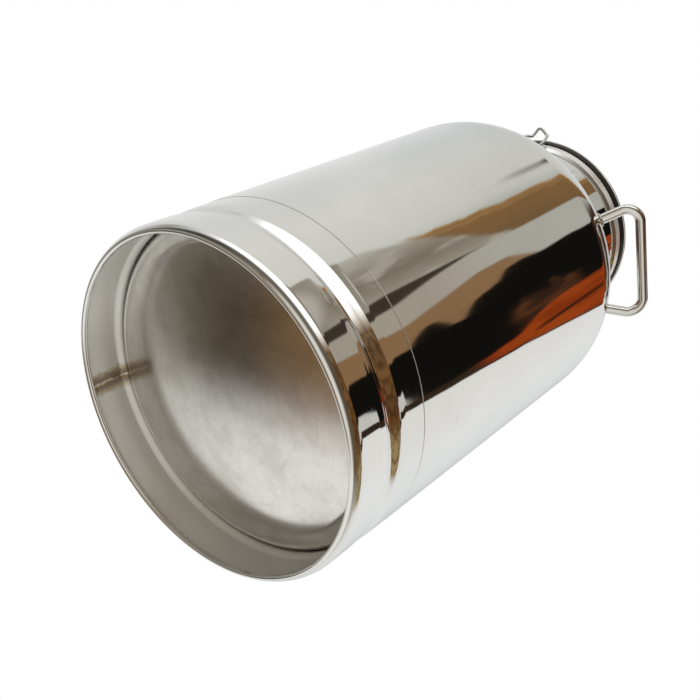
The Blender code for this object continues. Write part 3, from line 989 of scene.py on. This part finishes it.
def table_side(room):
    """Towards the lid: pale room above, wood, grey-beige and dark things to one side, and the white table."""
    turn = room.turn
    light = room.bands(turn, [
        (-60, (132, 124, 106)), (-30, (150, 146, 132)), (-12, (198, 197, 190)), (0, (204, 203, 196)),
        (25, (208, 207, 201)), (60, (204, 205, 204)), (100, (214, 214, 214)), (150, (186, 189, 188)),
    ])
    cooler = room.mix(1.0, light, (0.90, 0.91, 0.915), "MULTIPLY")
    light = room.mix(room.share(0.745, 0.84), light, cooler)
    smudge = room.spot(0.851, -4.0, 0.012, 2.4, 0.9)
    tone = room.mix(room.times(smudge, 0.6), light, shown(96, 92, 84))
    tone = room.mix(room.spot(0.862, -3.2, 0.005, 2.4, 0.5), tone, shown(70, 66, 60))

    # grey-beige wall with a lighter streak across it
    slow = room.grain(30.0, turn, 0.09, 2.0, 2.0)
    beige = room.bands(turn, [
        (-46, (156, 150, 136)), (-39, (136, 129, 115)), (-30, (116, 108, 94)), (-22, (138, 131, 117)),
        (-15, (158, 153, 141)), (-10, (176, 172, 162)),
    ])
    beige = room.mix(room.range(slow, 0.50, 0.64, 0.0, 0.8), beige, shown(166, 160, 148))
    blob = room.spot(0.690, -29.0, 0.022, 14.0, 0.3)
    skirt = room.mix(blob, shown(138, 132, 120), shown(172, 166, 156))
    beige = room.mix(room.share(0.708, 0.722, 1.0, 0.0), beige, skirt)
    tone = room.mix(room.past(room.wavy(0.012, 1.2, 0.3), room.edge(BEIGE_UPPER), 1.0), tone, beige)

    # wood: a golden line along its upper edge, darker streaks below it
    wavy = room.wavy(0.007, 3.8, 4.1)
    wood_top = room.edge(WOOD_UPPER)
    gap = room.minus(wood_top, wavy)
    grain = room.grain(14.0, gap, 0.35, 6.0, 3.0)
    wood = room.ramp(room.range(gap, 0.0, 30.0, kind="LINEAR"), [
        (0.00, shown(150, 120, 82)), (0.035, shown(166, 128, 80)), (0.06, shown(132, 100, 64)),
        (0.15, shown(142, 110, 74)), (0.19, shown(124, 94, 60)), (0.45, shown(118, 92, 62)),
        (1.00, shown(106, 82, 56)),
    ])
    wood = room.mix(room.range(grain, 0.44, 0.66, 0.0, 0.40), wood, shown(100, 76, 50))
    below_wood = room.past(room.wavy(0.010, 2.6, 7.7), room.edge(WOOD_LOWER), 1.6)
    on_wood = room.times(room.past(wavy, wood_top, 0.7), room.minus(1.0, below_wood))
    tone = room.mix(room.times(on_wood, room.share(0.764, 0.770)), tone, wood)
    tone = room.mix(room.times(below_wood, room.share(0.772, 0.786)), tone, beige)

    # dark line, pale band, tan, black with brown patches
    pale = room.mix(room.share(0.76, 0.84), shown(156, 148, 134), shown(164, 162, 154))
    line = room.past(turn, room.edge(LINE_UPPER), 0.8)
    tone = room.mix(room.times(line, room.share(0.815, 0.795)), tone, shown(60, 53, 45))
    tone = room.mix(room.past(turn, room.edge(LINE_LOWER), 0.9), tone, pale)
    tan = room.past(room.wavy(0.03, 0.8, 9.2), room.edge(PALE_LOWER), 0.9)
    tone = room.mix(tan, tone, shown(130, 101, 73))
    patch = room.past(room.wavy(0.005, 9.0, 3.3), -93.0, 1.5)
    patch = room.times(patch, room.share(0.800, 0.812))
    patch = room.times(patch, room.share(0.850, 0.842))
    brown = room.mix(room.range(slow, 0.46, 0.58), shown(50, 36, 28), shown(82, 52, 34))
    black = room.mix(patch, shown(23, 22, 20), brown)
    tone = room.mix(room.past(room.wavy(0.008, 2.2, 1.5), room.edge(TAN_LOWER), 0.8), tone, black)

    # orange floor beyond the table, with a dark streak, and a dark line along the table's edge
    orange = room.mix(room.range(slow, 0.40, 0.62), shown(146, 64, 27), shown(124, 52, 24))
    streak = room.times(room.math("COMPARE", turn, -120.0, 1.4), room.share(0.805, 0.82))
    orange = room.mix(streak, orange, shown(64, 36, 22))
    orange = room.mix(room.share(0.765, 0.785), shown(52, 40, 30), orange)
    orange = room.mix(room.share(0.722, 0.712), orange, shown(188, 186, 180))
    tone = room.mix(room.past(room.wavy(0.014, 1.0, 2.7), room.edge(BLACK_LOWER), 0.8), tone, orange)
    rim = room.minus(room.wavy(0.02, 0.8, 5.0), room.edge(TABLE_EDGE))
    width = room.share(0.71, 0.74, 5.0, 1.8)
    tone = room.mix(room.range(rim, width, room.minus(width, 0.8)), tone, shown(48, 38, 30))
    table = room.bands(turn, [
        (-180, (213, 217, 216)), (-160, (222, 222, 221)), (-118, (216, 214, 209)), (110, (200, 202, 201)),
        (150, (184, 187, 186)), (165, (205, 208, 207)), (180, (213, 217, 216)),
    ])
    tone = room.mix(room.range(rim, -0.5, 0.3, 1.0, 0.0), tone, table)
    shade = room.times(room.share(0.885, 0.93), room.range(turn, -40.0, -70.0))
    tone = room.mix(shade, tone, shown(64, 46, 37))
    on_table = room.times(room.range(room.up, -0.385, -0.370, 1.0, 0.0), room.range(room.away, -0.05, 0.0))
    return room.mix(on_table, tone, table)


def level_side(room):
    """Level directions and a little towards the lid: a lamp overhead, wood beside it, the table below."""
    turn = room.turn
    streaks = room.grain(9.0, turn, 0.22, 3.0, 3.0)
    tone = room.bands(turn, [
        (-180, (216, 216, 214)), (-146, (214, 213, 210)), (-138, (150, 132, 96)), (-120, (142, 122, 86)),
        (-108, (96, 66, 40)), (-98, (92, 66, 42)), (-80, (112, 80, 50)), (-66, (96, 72, 48)),
        (-56, (118, 96, 70)), (-46, (214, 204, 190)), (-34, (255, 255, 252)), (24, (255, 255, 255)),
        (38, (206, 205, 202)), (60, (150, 148, 142)), (78, (190, 188, 183)), (110, (214, 214, 212)),
        (180, (216, 216, 214)),
    ])
    wooden = room.times(room.range(turn, -50.0, -58.0), room.range(turn, -140.0, -136.0))
    dark = room.mix(1.0, tone, (0.55, 0.50, 0.44), "MULTIPLY")
    tone = room.mix(room.times(wooden, room.range(streaks, 0.46, 0.60)), tone, dark)
    lamp_glow = room.times(room.range(turn, -52.0, -36.0), room.range(turn, 32.0, 18.0))
    tone = room.mix(lamp_glow, tone, (1.5, 1.5, 1.48))
    wall = room.bands(turn, [
        (-180, (206, 205, 202)), (-146, (176, 172, 163)), (-120, (96, 80, 60)), (-70, (84, 72, 58)),
        (-40, (104, 98, 88)), (0, (98, 94, 86)), (40, (66, 63, 58)), (70, (90, 88, 82)),
        (120, (190, 189, 184)), (180, (206, 205, 202)),
    ])
    return room.mix(room.share(0.12, -0.08), tone, wall)


def foot_side(room):
    """The side that the foot faces, lit from one end, with the table below."""
    heading = room.times(room.math("ARCTAN2", room.away, room.along), 180.0 / pi)
    tone = room.bands(heading, [
        (-180, (112, 90, 62)), (-158, (190, 184, 172)), (-130, (218, 216, 210)), (0, (216, 215, 210)),
        (90, (146, 144, 134)), (118, (132, 128, 117)), (132, (74, 67, 55)), (142, (62, 54, 43)),
        (156, (116, 90, 62)), (180, (112, 90, 62)),
    ])
    upper = room.times(room.range(room.up, -0.20, 0.10, 0.0, 0.75), room.range(heading, 40.0, 90.0))
    tone = room.mix(upper, tone, shown(150, 146, 136))
    return room.mix(room.range(room.up, -0.60, -0.38, 1.0, 0.0), tone, shown(222, 221, 217))


def surroundings(shader, way):
    """What the steel reflects in the direction way."""
    shader.face(way)
    beside = shader.math("ABSOLUTE", shader.plus(shader.turn, 57.0))
    border = shader.range(beside, 40.0, 90.0, 0.50, 0.30)
    ahead = shader.minus(shader.along, border)
    tone = shader.mix(shader.range(ahead, -0.05, 0.03), level_side(shader), table_side(shader))
    return shader.mix(shader.range(shader.along, -0.25, -0.50), tone, foot_side(shader))


def world():
    made = bpy.data.worlds.new("studio")
    made.use_nodes = True
    bpy.context.scene.world = made
    shader = Room(made.node_tree)
    back = made.node_tree.nodes["Background"]
    way = shader.node("ShaderNodeTexCoord").outputs["Generated"]
    seen = shader.node("ShaderNodeLightPath").outputs["Is Camera Ray"]
    shader.put(back.inputs["Color"], shader.mix(seen, surroundings(shader, way), (1.0, 1.0, 1.0)))


def lamp(name, place, target, size, power):
    data = bpy.data.lights.new(name, "AREA")
    data.shape = "SQUARE"
    data.size = size
    data.energy = power
    made = bpy.data.objects.new(name, data)
    link(made)
    made.location = place
    made.rotation_euler = (Vector(target) - Vector(place)).to_track_quat("-Z", "Y").to_euler()
    made.visible_camera = False
    made.visible_glossy = False


def floor():
    """Plain pale floor that fades out, seen only from above, so that a view from below looks through it."""
    size = 2.4
    sides = 96
    height = -0.0004  # just under the can, so that the two don't flicker
    angles = [2.0 * pi * k / sides for k in range(sides)]
    points = [(size * cos(angle), size * sin(angle), height) for angle in angles]
    made = meshed("studio_floor", points, [tuple(range(sides))])
    link(made)
    finish, shader, principled, place = surface("studio_floor", 0.0)
    grain = shader.noise(place, 30.0, 3.0)
    shader.put(principled.inputs["Base Color"], shader.mix(grain, (0.84, 0.84, 0.83), (0.87, 0.87, 0.86)))
    principled.inputs["Roughness"].default_value = 0.7
    flat = shader.vector("MULTIPLY", place, (1.0, 1.0, 0.0))
    edge = shader.range(shader.vector("LENGTH", flat), 0.35 * size, 0.95 * size)
    under = shader.node("ShaderNodeNewGeometry").outputs["Backfacing"]
    clear = shader.node("ShaderNodeBsdfTransparent")
    blend = shader.node("ShaderNodeMixShader")
    shader.put(blend.inputs[0], shader.math("MAXIMUM", edge, under))
    shader.put(blend.inputs[1], principled.outputs[0])
    shader.put(blend.inputs[2], clear.outputs[0])
    shader.put(finish.node_tree.nodes["Material Output"].inputs["Surface"], blend.outputs[0])
    made.data.materials.append(finish)
    for kind in ("diffuse", "glossy", "transmission", "shadow"):
        setattr(made, "visible_" + kind, False)


def build():
    foot = handle_corners(1.0)[0]
    lid_foot = Vector((LID_HANDLE_SPAN / 2.0, 0.0, high("lid_cover")))
    rings = (7.0, 7.0, 900.0)
    mirror_look = dict(colour=(0.84, 0.84, 0.83), roughness=0.045, rings=2e-7, wave=0.00016, marks=0.05)
    mirror = steel("polished_steel_body", stretch=rings, **mirror_look)
    shoulder_tint = foot_tint(foot, 0.013)
    shoulder_steel = steel("polished_steel_shoulder", stretch=rings, tint=shoulder_tint, **mirror_look)
    lid_steel = steel("polished_steel_lid", stretch=rings, tint=foot_tint(lid_foot, 0.010), **mirror_look)
    inside = steel("inside_steel", (0.62, 0.61, 0.60), 0.26, 2e-6, 0.00010, 0.06, rings)
    skirt = steel("skirt_steel", (0.95, 0.95, 0.93), 0.36, 1.5e-6, 0.00010, 0.05, rings, seam_tint, 0.0, 0.50)
    dish = steel("satin_steel_dish", (0.84, 0.83, 0.81), 0.20, 1.4e-6, 0.00014, 0.03, rings, None, 0.8)
    band = steel("satin_steel_band", (0.62, 0.61, 0.60), 0.24, 1.5e-6, 0.00005, 0.05, rings)
    drawn = steel("drawn_rod_steel", (0.74, 0.73, 0.71), 0.15, 6e-7, 0.00004, 0.05, (500.0, 40.0, 500.0))
    bright = steel("bright_ring_steel", (0.93, 0.93, 0.92), 0.26, 6e-7, 0.00004, 0.05, rings, None, 0.0, 0.45)
    weld = weld_metal()
    can_shell(mirror, shoulder_steel, inside)
    foot_band(mirror, skirt)
    seam_bead(weld)
    dished_bottom(dish)
    mouth_band(mirror, bright)
    lid(lid_steel, band, rubber())
    side_handles(drawn, weld)
    lid_grip(drawn, weld)
    clips(drawn, band)
    camera()
    world()
    lamp("key", (-1.2, 1.6, 1.9), (0.0, 0.0, 0.3), 1.6, 14.0)
    lamp("fill", (1.9, -1.1, 1.2), (0.0, 0.0, 0.3), 1.4, 7.0)
    floor()
    bpy.context.scene.view_settings.view_transform = "Standard"


build()
